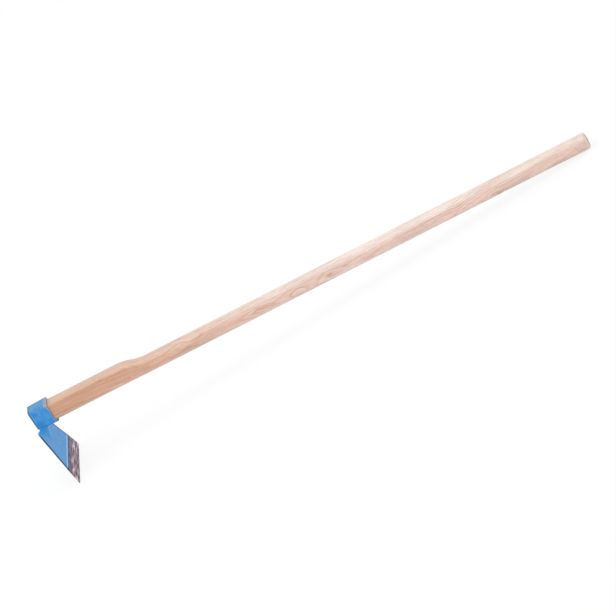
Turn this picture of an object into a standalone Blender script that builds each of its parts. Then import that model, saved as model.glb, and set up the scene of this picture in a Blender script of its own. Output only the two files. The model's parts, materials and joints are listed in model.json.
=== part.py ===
"""Garden hoe: a forged head with a tapered eye on a long ash handle.

Everything is modelled in the hoe's own axes, in metres: X runs along the handle from the
eye's outer end to the grip, Z points away from the blade, and Y = 0 is the plane of symmetry.
An empty then stands the whole hoe on its cutting edge and the low side of its grip end.
"""
import math

import bmesh
import bpy
from mathutils import Matrix, Vector

# Handle
HANDLE_REACH = 1.300          # eye's outer end to grip end
ROUND_RADIUS = 0.018
BLOCK_HALF_WIDTH = 0.016      # flat sides of the thick part beside the eye
BLOCK_TOP = 0.0245            # its flat top, above the handle's axis
BLOCK_UNDERSIDE_RADIUS = 0.0176
BLOCK_CORNER = 0.003
BLOCK_LENGTH = 0.166          # from the eye to the shoulder
SHOULDER_LENGTH = 0.042
GRIP_ROUNDING = 0.0022

# Eye of the head
EYE_DEPTH = 0.0425
EYE_RAKE = math.radians(1.0)  # the outer end leans out at its top
LIP_REACH = 0.0036            # the sole's lip, past the rest of the inner rim
LIP_RISE = 0.0148             # height over which the lip runs back into the rim, below the flat sides
EYE_WALL = 0.0042             # at the sides
TOP_WALL = 0.0052
SOLE_WALL = 0.0045            # the wall under the handle
TOP_TAPER = 0.0003            # how much lower the top is at the outer end
SIDE_TAPER = 0.0034           # how much nearer the middle each side is there
SOLE_TAPER = 0.0010
EYE_CORNER = 0.0065
RIM_ROUNDING = 0.0012
FIT = 0.0003                  # clearance between pieces that touch

# Blade
EDGE_WIDTH = 0.163
EAR_WIDTH = 0.0925            # across the two upper corners
BLADE_LENGTH = 0.1276
BLADE_LEAN = math.radians(11.5)
EAR_LEVEL = 0.0092            # upper corners, below the handle's axis
EAR_SETBACK = 0.0035          # blade's middle plane there, in from the eye's outer end
EAR_ROUNDING = 0.0055
SHOULDER_DIP = 0.0050         # the shoulders sink this much beside the eye
BLADE_THICKNESS = 0.0038
STRIP_THICKNESS = 0.0030      # where the ground strip starts
EDGE_THICKNESS = 0.0008
STRIP_LENGTH = 0.035

# Rib that carries the eye's sole down onto the blade
RIB_REACH = 0.0205            # from the eye's outer end
RIB_HALF_WIDTH = 0.0070       # of its crest at the sole
RIB_FOOT_HALF_WIDTH = 0.0042  # of its crest where it fades out
RIB_FLANK = 0.0110            # width of each hollow flank at the sole
RIB_FOOT_FLANK = 0.0210
RIB_LENGTH = 0.032            # down the blade from the sole
RIB_HOLLOW = 1.5              # 1 gives a straight crest line, more a hollow one

# Wedges in the end of the tenon
TENON_RECESS = 0.0015
KERF_WIDTH = 0.0014
KERF_DEPTH = 0.036
WOOD_WEDGE_LENGTH = 0.029
WOOD_WEDGE_HEAD = 0.0050
WOOD_WEDGE_TIP = 0.0012
WOOD_WEDGE_MARGIN = 0.0035    # wood left above and below it
STEEL_WEDGE_LENGTH = 0.019
STEEL_WEDGE_WIDTH = 0.019
STEEL_WEDGE_HEAD = 0.0034
STEEL_WEDGE_TIP = 0.0006
STEEL_WEDGE_LEVEL = 0.0030    # its middle, above the handle's axis

CUT_OVERRUN = 0.010           # how far a cutter runs past what it cuts

# Points round a section across the handle
ARC_STEPS = 16
SIDE_STEPS = 5
CORNER_STEPS = 4
TOP_STEPS = 8


def clear_scene():
    for obj in list(bpy.data.objects):
        bpy.data.objects.remove(obj, do_unlink=True)


def new_collection(name):
    collection = bpy.data.collections.new(name)
    bpy.context.scene.collection.children.link(collection)
    return collection


def make_material(name, color, roughness, metallic=0.0):
    material = bpy.data.materials.new(name)
    material.use_nodes = True
    shader = material.node_tree.nodes["Principled BSDF"]
    shader.inputs["Base Color"].default_value = (*color, 1.0)
    shader.inputs["Roughness"].default_value = roughness
    shader.inputs["Metallic"].default_value = metallic
    return material


def mix(a, b, t):
    return a + (b - a) * t


def ease(t):
    """Rise from 0 to 1, level at both ends."""
    t = min(max(t, 0.0), 1.0)
    return t * t * (3.0 - 2.0 * t)


def place(bm, name, collection, frame, material=None):
    """Turn a bmesh into an object under the hoe's empty; one with no material is a cutter."""
    bm.normal_update()
    bmesh.ops.recalc_face_normals(bm, faces=bm.faces)
    mesh = bpy.data.meshes.new(name)
    bm.to_mesh(mesh)
    bm.free()
    obj = bpy.data.objects.new(name, mesh)
    collection.objects.link(obj)
    obj.parent = frame
    if material:
        mesh.materials.append(material)
    else:
        obj.hide_render = True
        obj.display_type = "WIRE"
    return obj


def loft(rings, plate=False):
    """Skin closed rings that have the same number of points, and cap both ends.

    A plate's ring runs out along one face and back along the other, and its caps are
    strips from face to face.
    """
    bm = bmesh.new()
    rows = [[bm.verts.new(point) for point in ring] for ring in rings]
    count = len(rows[0])
    for low, high in zip(rows, rows[1:]):
        for i in range(count):
            j = (i + 1) % count
            bm.faces.new((low[i], low[j], high[j], high[i]))
    for row in (rows[0], rows[-1]):
        if plate:
            for i in range(count // 2 - 1):
                bm.faces.new((row[i], row[i + 1], row[-2 - i], row[-1 - i]))
        else:
            bm.faces.new(row)
    return bm


def boolean(obj, other, operation="DIFFERENCE"):
    modifier = obj.modifiers.new(f"{operation.lower()} {other.name}", "BOOLEAN")
    modifier.operation = operation
    modifier.solver = "EXACT"
    modifier.object = other


def settle(obj):
    """Apply the Booleans, then shade the finished shape smooth except across its edges."""
    evaluated = obj.evaluated_get(bpy.context.evaluated_depsgraph_get())
    mesh = bpy.data.meshes.new_from_object(evaluated)
    obj.modifiers.clear()
    obj.data = mesh
    mesh.name = obj.name
    mesh.shade_smooth()
    mesh.set_sharp_from_angle(angle=math.radians(32))


# Sections across the handle, shared by the eye's skin, its bore, the tenon and the block


def stone_outline(half, top, radius, corner, sole):
    """A (y, z) outline with a flat top, upright sides, rounded top corners and an arc underneath.

    The arc has the given radius and its lowest point at z = sole. Side and top have points
    of their own, so that the outline can be skinned to a circle.
    """
    middle = sole + radius
    foot = math.acos(min(half / radius, 1.0))
    side_foot = middle - radius * math.sin(foot)
    points = []
    for i in range(ARC_STEPS + 1):
        angle = mix(math.pi + foot, 2.0 * math.pi - foot, i / ARC_STEPS)
        points.append((radius * math.cos(angle), middle + radius * math.sin(angle)))
    for i in range(1, SIDE_STEPS):
        points.append((half, mix(side_foot, top - corner, i / SIDE_STEPS)))
    for i in range(CORNER_STEPS + 1):
        angle = 0.5 * math.pi * i / CORNER_STEPS
        points.append((half - corner + corner * math.cos(angle), top - corner + corner * math.sin(angle)))
    for i in range(1, TOP_STEPS):
        points.append((mix(half - corner, corner - half, i / TOP_STEPS), top))
    for i in range(CORNER_STEPS + 1):
        angle = 0.5 * math.pi * (1.0 + i / CORNER_STEPS)
        points.append((corner - half + corner * math.cos(angle), top - corner + corner * math.sin(angle)))
    for i in range(1, SIDE_STEPS):
        points.append((-half, mix(top - corner, side_foot, i / SIDE_STEPS)))
    return points


def eye_section(depth, walls, corner):
    """The block's section, drawn in by the eye's taper toward the outer end.

    It is grown by walls at its sides, its top and its sole.
    """
    side_wall, top_wall, sole_wall = walls
    taper = max(1.0 - depth / EYE_DEPTH, 0.0)
    half = BLOCK_HALF_WIDTH + side_wall - SIDE_TAPER * taper
    top = BLOCK_TOP + top_wall - TOP_TAPER * taper
    sole = -(BLOCK_UNDERSIDE_RADIUS + sole_wall) + SOLE_TAPER * taper
    radius = max(BLOCK_UNDERSIDE_RADIUS + side_wall, half)
    return stone_outline(half, top, radius, corner, sole)


def rake(level):
    """How far along X the eye's outer end lies at a level above the handle's axis."""
    return -level * math.tan(EYE_RAKE)


def raked_ring(depth, walls, corner):
    """A section that leans like the outer end, less and less toward the inner rim."""
    share = 1.0 - depth / EYE_DEPTH
    points = []
    for i, (_, level) in enumerate(eye_section(depth, walls, corner)):
        x = depth + rake(level) * share
        points.append((x, *eye_section(x, walls, corner)[i]))
    return points


def blade_point(down, across, off):
    """A point of the blade: down it from the ears' level, across it, and off its middle plane."""
    x = EAR_SETBACK + down * math.sin(BLADE_LEAN) + off * math.cos(BLADE_LEAN)
    z = -EAR_LEVEL - down * math.cos(BLADE_LEAN) + off * math.sin(BLADE_LEAN)
    return (x, across, z)


# Head


def make_eye(name, collection, frame):
    """The eye's outside: tapered, with rounded rims, a raked outer end and a lip under the handle."""
    sole = -(BLOCK_UNDERSIDE_RADIUS + FIT + SOLE_WALL)

    def ring(depth, inset):
        walls = [FIT + wall - inset for wall in (EYE_WALL, TOP_WALL, SOLE_WALL)]
        points = []
        for x, y, z in raked_ring(depth, walls, max(EYE_CORNER - inset, FIT)):
            # the lip belongs to the inner rim and fades toward the outer end
            lip = LIP_REACH * ease((sole + LIP_RISE - z) / LIP_RISE) * (depth / EYE_DEPTH) ** 2
            points.append((x + lip, y, z))
        return points

    rim_steps, body_steps = 3, 4
    turns = [0.5 * math.pi * i / rim_steps for i in range(rim_steps + 1)]
    rim = [(RIM_ROUNDING * (1.0 - math.cos(turn)), RIM_ROUNDING * (1.0 - math.sin(turn))) for turn in turns]
    # the end faces run in to just inside the bore, which then cuts them open
    inside = max(EYE_WALL, TOP_WALL, SOLE_WALL) + 2.0 * FIT
    rings = [ring(0.0, inside)]
    rings += [ring(depth, inset) for depth, inset in rim]
    rings += [ring(mix(RIM_ROUNDING, EYE_DEPTH - RIM_ROUNDING, i / body_steps), 0.0)
              for i in range(1, body_steps)]
    rings += [ring(EYE_DEPTH - depth, inset) for depth, inset in reversed(rim)]
    rings += [ring(EYE_DEPTH, inside)]
    return place(loft(rings), name, collection, frame)


def make_bore(name, collection, frame):
    """The eye's hole, run past both of its ends, with a ring where the tenon has its end."""
    rings = []
    for x in (-CUT_OVERRUN, TENON_RECESS, EYE_DEPTH, EYE_DEPTH + LIP_REACH + CUT_OVERRUN):
        rings.append([(x, y, z) for y, z in eye_section(x, (FIT, FIT, FIT), BLOCK_CORNER + FIT)])
    return place(loft(rings), name, collection, frame)


def blade_thickness(down):
    """Thick at the eye, thinner at the ground strip, and ground away to the cutting edge."""
    strip_start = BLADE_LENGTH - STRIP_LENGTH
    if down < strip_start:
        return mix(BLADE_THICKNESS, STRIP_THICKNESS, down / strip_start)
    return mix(STRIP_THICKNESS, EDGE_THICKNESS, (down - strip_start) / STRIP_LENGTH)


def shoulder_line(across):
    """How far below the ears' level the blade starts: a dip beside the eye and rounded ears."""
    half = 0.5 * EAR_WIDTH
    from_ear = half - abs(across)
    if from_ear < EAR_ROUNDING:
        run = EAR_ROUNDING - max(from_ear, 0.0)
        return EAR_ROUNDING - math.sqrt(max(EAR_ROUNDING ** 2 - run ** 2, 0.0))
    dip_width = half - EAR_ROUNDING - BLOCK_HALF_WIDTH - EYE_WALL
    return SHOULDER_DIP * ease((from_ear - EAR_ROUNDING) / dip_width)


def sole_level():
    """How far down the blade the underside of the eye lies."""
    return (BLOCK_UNDERSIDE_RADIUS + FIT + SOLE_WALL - EAR_LEVEL) / math.cos(BLADE_LEAN)


def rib_height(down, across):
    """How far the rib stands off the blade's inner face."""
    face_at_sole = EAR_SETBACK + sole_level() * math.sin(BLADE_LEAN) + 0.5 * BLADE_THICKNESS
    fall = min(max((down - sole_level()) / RIB_LENGTH, 0.0), 1.0)
    crest = max(RIB_REACH - face_at_sole, 0.0) / math.cos(BLADE_LEAN) * (1.0 - fall) ** RIB_HOLLOW
    crest_half_width = mix(RIB_HALF_WIDTH, RIB_FOOT_HALF_WIDTH, fall)
    flank = mix(RIB_FLANK, RIB_FOOT_FLANK, fall)
    return crest * (1.0 - ease((abs(across) - crest_half_width) / flank))


def blade_columns():
    """Places across the blade at its ears' level, closer together on the rib and the ears."""
    ear_steps, shoulder_steps, rib_steps = 4, 3, 8
    half = 0.5 * EAR_WIDTH
    rib_edge = max(RIB_HALF_WIDTH + RIB_FLANK, RIB_FOOT_HALF_WIDTH + RIB_FOOT_FLANK)
    side = [EAR_ROUNDING * (1.0 - math.cos(0.5 * math.pi * i / ear_steps)) - half
            for i in range(ear_steps + 1)]
    side += [mix(EAR_ROUNDING - half, -rib_edge, i / shoulder_steps) for i in range(1, shoulder_steps)]
    side += [mix(-rib_edge, 0.0, i / rib_steps) for i in range(rib_steps)]
    return side + [0.0] + [-place for place in reversed(side)], rib_edge


def make_blade(name, collection, frame, material):
    """The blade with its rib: sections from side to side, laid down its length."""
    columns, rib_edge = blade_columns()
    half = 0.5 * EAR_WIDTH
    rib_rows = 8
    strip_start = BLADE_LENGTH - STRIP_LENGTH
    levels = [0.0, 0.5 * sole_level()]
    levels += [sole_level() + RIB_LENGTH * i / rib_rows for i in range(rib_rows + 1)]
    levels += [mix(levels[-1], strip_start, 0.5), strip_start, BLADE_LENGTH]

    rings = []
    for level in levels:
        t = level / BLADE_LENGTH
        widen = mix(1.0, EDGE_WIDTH / EAR_WIDTH, t)
        outer, inner = [], []
        for column in columns:
            down = mix(shoulder_line(column), BLADE_LENGTH, t)
            # near the middle the columns stay parallel, so that the rib keeps its width
            share = ease((abs(column) - rib_edge) / (half - rib_edge))
            across = column * mix(1.0, widen, share)
            half_thickness = 0.5 * blade_thickness(down)
            outer.append(blade_point(down, across, -half_thickness))
            inner.append(blade_point(down, across, half_thickness + rib_height(down, across)))
        rings.append(outer + inner[::-1])
    return place(loft(rings, plate=True), name, collection, frame, material)


def make_head(parts, cutters, frame, material):
    head = make_blade("hoe_head", parts, frame, material)
    boolean(head, make_eye("eye_skin", cutters, frame), "UNION")
    boolean(head, make_bore("eye_bore", cutters, frame))


# Handle


def round_ring(x, radius, outline):
    """A circle whose points lie at the same angles as those of the outline."""
    angles = [math.atan2(z, y) for y, z in outline]
    return [(x, radius * math.cos(angle), radius * math.sin(angle)) for angle in angles]


def make_handle(parts, frame, material):
    """Tenon, block, shoulder and round shaft, skinned along the handle."""
    bare = (0.0, 0.0, 0.0)
    block = eye_section(EYE_DEPTH, bare, BLOCK_CORNER)
    block_end = EYE_DEPTH + BLOCK_LENGTH
    rings = [raked_ring(TENON_RECESS, bare, BLOCK_CORNER)]
    # the block's flats start just clear of the eye's rim
    rings += [[(x, y, z) for y, z in block] for x in (EYE_DEPTH + FIT, block_end)]
    shoulder_steps, grip_steps = 12, 4
    circle = round_ring(0.0, ROUND_RADIUS, block)
    for i in range(1, shoulder_steps + 1):
        t = i / shoulder_steps
        x = block_end + SHOULDER_LENGTH * t
        rings.append([(x, mix(y, circle_y, ease(t)), mix(z, circle_z, ease(t)))
                      for (y, z), (_, circle_y, circle_z) in zip(block, circle)])
    for i in range(grip_steps + 1):
        turn = 0.5 * math.pi * i / grip_steps
        x = HANDLE_REACH - GRIP_ROUNDING * (1.0 - math.sin(turn))
        rings.append(round_ring(x, ROUND_RADIUS - GRIP_ROUNDING * (1.0 - math.cos(turn)), block))
    return place(loft(rings), "handle", parts, frame, material)


# Wedges


def make_wedge(name, collection, frame, size, grow=0.0, material=None):
    """A wedge driven along X into the tenon's end, with its head flush with that end.

    size gives its length, its width, its thickness at head and tip, whether it stands
    upright, and the level of its middle. grow enlarges it all round, for its pocket.
    """
    length, width, head, tip, upright, level = size
    bm = bmesh.new()
    bmesh.ops.create_cube(bm, size=1.0)
    for vert in bm.verts:
        wide = math.copysign(0.5 * width + grow, vert.co.z)
        if vert.co.x > 0.0:
            x = length + grow
        else:
            x = rake(level + wide if upright else level) - (CUT_OVERRUN if grow else 0.0)
        thick = math.copysign(0.5 * mix(head, tip, x / length) + grow, vert.co.y)
        y, z = (thick, level + wide) if upright else (wide, level + thick)
        vert.co = Vector((TENON_RECESS + x, y, z))
    return place(bm, name, collection, frame, material)


def make_saw_kerf(collection, frame):
    bm = bmesh.new()
    bmesh.ops.create_cube(bm, size=1.0)
    tall = 2.0 * (BLOCK_TOP + BLOCK_UNDERSIDE_RADIUS)
    size = Vector((KERF_DEPTH + CUT_OVERRUN, KERF_WIDTH, tall))
    center = Vector((TENON_RECESS + 0.5 * (KERF_DEPTH - CUT_OVERRUN), 0.0, 0.0))
    bmesh.ops.transform(bm, matrix=Matrix.Translation(center) @ Matrix.Diagonal((*size, 1.0)), verts=bm.verts)
    return place(bm, "saw_kerf", collection, frame)


def make_wedges(parts, cutters, frame, handle, wood, steel):
    tenon_top = BLOCK_TOP - TOP_TAPER
    tenon_sole = -BLOCK_UNDERSIDE_RADIUS + SOLE_TAPER
    wood_size = (WOOD_WEDGE_LENGTH, tenon_top - tenon_sole - 2.0 * WOOD_WEDGE_MARGIN, WOOD_WEDGE_HEAD,
                 WOOD_WEDGE_TIP, True, 0.5 * (tenon_top + tenon_sole))
    steel_size = (STEEL_WEDGE_LENGTH, STEEL_WEDGE_WIDTH, STEEL_WEDGE_HEAD,
                  STEEL_WEDGE_TIP, False, STEEL_WEDGE_LEVEL)
    wood_wedge = make_wedge("wood_wedge", parts, frame, wood_size, material=wood)
    make_wedge("steel_wedge", parts, frame, steel_size, material=steel)
    steel_pocket = make_wedge("steel_wedge_pocket", cutters, frame, steel_size, FIT)
    boolean(wood_wedge, steel_pocket)
    boolean(handle, make_saw_kerf(cutters, frame))
    boolean(handle, make_wedge("wood_wedge_pocket", cutters, frame, wood_size, FIT))
    boolean(handle, steel_pocket)


# Resting place


def stand_on_floor(frame, parts):
    """Tilt the hoe onto its cutting edge and its grip end, and centre it over the origin."""
    edge = Vector(blade_point(BLADE_LENGTH, 0.0, -0.5 * EDGE_THICKNESS))
    grip = Vector((HANDLE_REACH - GRIP_ROUNDING, 0.0, GRIP_ROUNDING - ROUND_RADIUS))
    run, rise = grip.x - edge.x, grip.z - edge.z
    tilt = math.acos(GRIP_ROUNDING / math.hypot(run, rise)) - math.atan2(run, rise)
    frame.rotation_euler = (0.0, tilt, 0.0)
    bpy.context.view_layer.update()
    corners = [obj.matrix_world @ vert.co for obj in parts.objects for vert in obj.data.vertices]
    low = [min(corner[i] for corner in corners) for i in range(3)]
    high = [max(corner[i] for corner in corners) for i in range(3)]
    frame.location = (-0.5 * (low[0] + high[0]), 0.0, -low[2])
    bpy.context.view_layer.update()


def main():
    clear_scene()
    parts = new_collection("garden_hoe")
    cutters = new_collection("cutters")
    frame = bpy.data.objects.new("hoe_axes", None)
    bpy.context.scene.collection.objects.link(frame)

    blue_paint = make_material("blue_paint", (0.068, 0.300, 0.640), 0.38)
    ash = make_material("ash", (0.75, 0.56, 0.44), 0.62)
    beech = make_material("beech", (0.62, 0.42, 0.26), 0.65)
    wedge_steel = make_material("wedge_steel", (0.42, 0.41, 0.40), 0.42, 1.0)

    make_head(parts, cutters, frame, blue_paint)
    handle = make_handle(parts, frame, ash)
    make_wedges(parts, cutters, frame, handle, beech, wedge_steel)
    for obj in parts.objects:
        settle(obj)
    stand_on_floor(frame, parts)


main()
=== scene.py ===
# Garden hoe: forged blue head with a ground cutting strip, on an ash handle.
# Everything is modelled along the hoe's own axes (X up the handle, Z away from the blade, all in
# metres) and laid into its resting place at the end.
import json
import math
import bmesh
import bpy
from mathutils import Matrix, Vector


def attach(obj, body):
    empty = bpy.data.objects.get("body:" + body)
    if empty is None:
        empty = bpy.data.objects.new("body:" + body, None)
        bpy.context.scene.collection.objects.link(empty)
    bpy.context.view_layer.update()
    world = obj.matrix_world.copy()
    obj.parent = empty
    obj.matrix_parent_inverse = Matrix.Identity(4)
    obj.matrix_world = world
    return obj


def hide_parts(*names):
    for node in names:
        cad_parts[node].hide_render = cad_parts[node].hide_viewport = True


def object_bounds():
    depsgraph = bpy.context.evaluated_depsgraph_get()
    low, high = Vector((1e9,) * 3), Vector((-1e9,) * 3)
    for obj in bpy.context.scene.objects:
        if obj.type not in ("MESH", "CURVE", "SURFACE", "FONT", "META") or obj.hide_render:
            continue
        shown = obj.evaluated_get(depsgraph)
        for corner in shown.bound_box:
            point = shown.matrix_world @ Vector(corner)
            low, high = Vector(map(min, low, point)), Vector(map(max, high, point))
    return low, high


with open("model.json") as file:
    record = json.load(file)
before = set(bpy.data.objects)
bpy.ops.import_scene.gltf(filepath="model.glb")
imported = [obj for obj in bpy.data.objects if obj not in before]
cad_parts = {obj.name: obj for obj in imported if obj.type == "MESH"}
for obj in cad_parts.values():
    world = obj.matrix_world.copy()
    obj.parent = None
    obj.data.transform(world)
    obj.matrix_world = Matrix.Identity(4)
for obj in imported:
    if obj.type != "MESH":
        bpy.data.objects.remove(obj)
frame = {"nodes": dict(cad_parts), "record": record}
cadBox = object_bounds()
print("frame loaded:", ", ".join(sorted(frame["nodes"])))


# the hoe's own axes, from the flat faces that the frame names

handle = {
    "reach": 1.300,            # eye's outer end to grip end
    "roundRadius": 0.018,
    "halfWidth": 0.016,        # block beside the eye
    "top": 0.0245,
    "underside": 0.0176,
    "undersideSteps": 16,
    "corner": 0.003,
    "cornerSteps": 4,
    "blockEnd": 0.2095,
    "shoulderEnd": 0.2690,
    "shoulderRings": 14,
    "flatCuts": 7,             # points added to each flat, for the shoulder to flow from
    "sides": 64,
    "gripRounding": 0.0022,
    "gripSteps": 5,
    "recess": 0.0015,          # tenon's end, in from the eye's rim
}

mounts = {mount["name"]: mount for mount in frame["record"]["mounts"]}
alongHandle = Vector(mounts["grip_end"]["axis"])
awayFromBlade = Vector(mounts["block_top"]["axis"])
acrossBlade = awayFromBlade.cross(alongHandle)
hoeAxes = Matrix((alongHandle, acrossBlade, awayFromBlade)).transposed().to_4x4()
hoeAxes.translation = Vector(mounts["grip_end"]["pos_m"]) - handle["reach"] * alongHandle


# small helpers

quarterTurn = 0.5 * math.pi
tiny = 0.0001            # what differs by less than this is in the same place
mergeReach = 0.00001     # and points this close become one


def mix(a, b, t):
    return a + (b - a) * t


def ease(t):
    t = min(max(t, 0.0), 1.0)
    return t * t * (3.0 - 2.0 * t)


def newest(name):
    piece = bpy.context.active_object
    piece.name = name
    piece.data.name = name
    bpy.ops.object.transform_apply(location=True, rotation=True, scale=True)
    return piece


def addBox(name, middle=(0.0, 0.0, 0.0), size=(1.0, 1.0, 1.0)):
    bpy.ops.object.select_all(action="DESELECT")
    bpy.ops.mesh.primitive_cube_add(size=1.0, location=middle, scale=size)
    return newest(name)


def alone(piece):
    bpy.ops.object.select_all(action="DESELECT")
    piece.select_set(True)
    bpy.context.view_layer.objects.active = piece


def editAll(piece):    # into edit mode, with all of the piece selected
    alone(piece)
    bpy.ops.object.mode_set(mode="EDIT")
    bpy.ops.mesh.select_all(action="SELECT")


def pick(piece, kind, wanted):    # into edit mode, with the edges or faces selected that pass a test
    bpy.ops.object.mode_set(mode="EDIT")
    bpy.ops.mesh.select_mode(type=kind)
    bpy.ops.mesh.select_all(action="DESELECT")
    cage = bmesh.from_edit_mesh(piece.data)
    for item in {"EDGE": cage.edges, "FACE": cage.faces}[kind]:
        if wanted(item):
            item.select_set(True)
    bmesh.update_edit_mesh(piece.data)


def span(edge, axis):    # how far an edge reaches along X, Y or Z (0, 1 or 2)
    return abs(edge.verts[0].co[axis] - edge.verts[1].co[axis])


def moveVerts(piece, where):
    for vert in piece.data.vertices:
        vert.co = where(vert.co.copy())


def useModifier(piece, kind, **settings):
    alone(piece)
    modifier = piece.modifiers.new(kind.lower(), kind)
    for key, value in settings.items():
        setattr(modifier, key, value)
    bpy.ops.object.modifier_apply(modifier=modifier.name)


def cut(piece, cutter, operation="DIFFERENCE"):
    useModifier(piece, "BOOLEAN", operation=operation, solver="EXACT", object=cutter)
    bpy.data.objects.remove(cutter, do_unlink=True)


def finishPiece(piece, material, stoodFor=None, sharpAngle=40.0):
    piece.data.transform(hoeAxes)
    editAll(piece)
    bpy.ops.mesh.remove_doubles(threshold=mergeReach)
    bpy.ops.mesh.normals_make_consistent(inside=False)
    bpy.ops.object.mode_set(mode="OBJECT")
    bpy.ops.object.shade_smooth_by_angle(angle=math.radians(sharpAngle))
    piece.data.materials.clear()
    piece.data.materials.append(material)
    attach(piece, "root")
    if stoodFor:
        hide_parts(stoodFor)
    print("made", piece.name, len(piece.data.polygons), "faces")


# shader helpers; a range is (from, to), or (from, to, what it gives at from, what it gives at to)

def setInputs(tree, node, values):
    for socket, value in values.items():
        if isinstance(value, bpy.types.NodeSocket):
            tree.links.new(value, node.inputs[socket])
        else:
            node.inputs[socket].default_value = value
    return node


def addNode(tree, kind, inputs=None, **settings):
    made = tree.nodes.new(kind)
    for key, value in settings.items():
        setattr(made, key, value)
    return setInputs(tree, made, inputs or {})


def calc(tree, operation, a, b=0.0, c=0.0, clamp=False):
    made = addNode(tree, "ShaderNodeMath", {0: a, 1: b, 2: c}, operation=operation, use_clamp=clamp)
    return made.outputs[0]


def times(tree, product, *others):
    for other in others:
        product = calc(tree, "MULTIPLY", product, other)
    return product


def vectorCalc(tree, operation, *values):    # gives a number where the operation does
    made = addNode(tree, "ShaderNodeVectorMath", dict(enumerate(values)), operation=operation)
    return made.outputs["Value" if operation in ("LENGTH", "DISTANCE", "DOT_PRODUCT") else "Vector"]


def stretched(tree, vector, scale):
    return vectorCalc(tree, "MULTIPLY", vector, scale)


def split(tree, vector):
    return addNode(tree, "ShaderNodeSeparateXYZ", {0: vector}).outputs


def blendColor(tree, factor, a, b, mode="MIX"):
    a, b = ((*color, 1.0) if isinstance(color, tuple) else color for color in (a, b))
    made = addNode(tree, "ShaderNodeMix", {0: factor, 6: a, 7: b}, data_type="RGBA", blend_type=mode)
    return made.outputs[2]


def ramp(tree, value, start, end, atStart=0.0, atEnd=1.0):
    limits = {"From Min": start, "From Max": end, "To Min": atStart, "To Max": atEnd}
    made = addNode(tree, "ShaderNodeMapRange", {"Value": value, **limits}, interpolation_type="SMOOTHSTEP")
    return made.outputs[0]


def noise(tree, vector, scale=1.0, detail=2.0, roughness=0.5):
    values = {"Vector": vector, "Scale": scale, "Detail": detail, "Roughness": roughness}
    return addNode(tree, "ShaderNodeTexNoise", values).outputs[0]


def bump(tree, height, distance):
    values = {"Height": height, "Distance": distance, "Strength": 1.0}
    return addNode(tree, "ShaderNodeBump", values).outputs[0]


def newGroup(name, inputs, outputs):    # each a dictionary of labels and the sockets' kinds
    group = bpy.data.node_groups.new(name, "ShaderNodeTree")
    for direction, sockets in (("INPUT", inputs), ("OUTPUT", outputs)):
        for label, kind in sockets.items():
            group.interface.new_socket(label, in_out=direction, socket_type="NodeSocket" + kind)
    return group, group.nodes.new("NodeGroupInput").outputs, group.nodes.new("NodeGroupOutput")


def useGroup(tree, group, **inputs):
    return addNode(tree, "ShaderNodeGroup", inputs, node_tree=group).outputs


def newMaterial(name, plain):    # plain is what stays the same all over the surface
    material = bpy.data.materials.new(name)
    material.use_nodes = True
    tree = material.node_tree
    shader = setInputs(tree, tree.nodes["Principled BSDF"], plain)
    place = addNode(tree, "ShaderNodeTexCoord").outputs["Object"]
    ownAxes = {"Vector": place, "Location": hoeAxes.translation, "Rotation": hoeAxes.to_euler()}
    mapping = addNode(tree, "ShaderNodeMapping", ownAxes, vector_type="TEXTURE")
    return material, tree, shader, mapping.outputs[0]


# effects that several materials share

grain = {
    "slowWave": (5.0, 22.0, 22.0),         # how often the rings wander, along the wood and across it
    "slowRoughness": 0.55,
    "quickWave": (28.0, 120.0, 120.0),
    "quickShare": 0.26,
    "waveMean": 0.59,
    "darkening": (0.35, 0.88),             # through a ring, from pale wood to dark
    "ringEdge": (0.86, 1.0, 1.0, 0.0),     # and sharply back
    "ringStrength": (0.6, 0.4),            # what differs from ring to ring, and what doesn't
    "poreSize": (55.0, 850.0, 850.0),
    "poreRoughness": 0.7,
    "poreRange": (0.50, 0.68),
}


def makeGrainGroup():
    inputs = {"Vector": "Vector", "Pith": "Vector", "Drift": "Vector", "Spacing": "Float", "Wander": "Float"}
    group, given, result = newGroup("growthRings", inputs, {"Ring": "Float", "Pores": "Float"})
    vector = given["Vector"]
    along = stretched(group, given["Drift"], split(group, vector)[0])
    center = vectorCalc(group, "ADD", given["Pith"], along)
    away = vectorCalc(group, "SUBTRACT", vector, center)
    radius = vectorCalc(group, "LENGTH", stretched(group, away, (0.0, 1.0, 1.0)))
    slowWave = noise(group, stretched(group, vector, grain["slowWave"]), roughness=grain["slowRoughness"])
    quickWave = noise(group, stretched(group, vector, grain["quickWave"]))
    wander = calc(group, "MULTIPLY_ADD", quickWave, grain["quickShare"], slowWave)
    wander = calc(group, "SUBTRACT", wander, grain["waveMean"])
    radius = calc(group, "MULTIPLY_ADD", wander, given["Wander"], radius)
    phase = calc(group, "DIVIDE", radius, given["Spacing"])
    share = calc(group, "FRACT", phase)
    ringNumber = calc(group, "FLOOR", phase)
    strength = addNode(group, "ShaderNodeTexWhiteNoise", {"W": ringNumber}, noise_dimensions="1D").outputs[0]
    strength = calc(group, "MULTIPLY_ADD", strength, *grain["ringStrength"])
    darkening = ramp(group, share, *grain["darkening"])
    ring = times(group, darkening, ramp(group, share, *grain["ringEdge"]), strength)
    pores = noise(group, stretched(group, vector, grain["poreSize"]), roughness=grain["poreRoughness"])
    setInputs(group, result, {"Ring": ring, "Pores": ramp(group, pores, *grain["poreRange"])})
    return group


def makeMottleGroup():
    inputs = {"Vector": "Vector", "Coarse": "Float", "Fine": "Float"}
    group, given, result = newGroup("mottle", inputs, {"Patches": "Float", "Specks": "Float"})
    patches = noise(group, given["Vector"], given["Coarse"], 3.0)
    specks = noise(group, given["Vector"], given["Fine"])
    setInputs(group, result, {"Patches": patches, "Specks": specks})
    return group


grainGroup = makeGrainGroup()
mottleGroup = makeMottleGroup()
print("shared effects ready")


# materials

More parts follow.
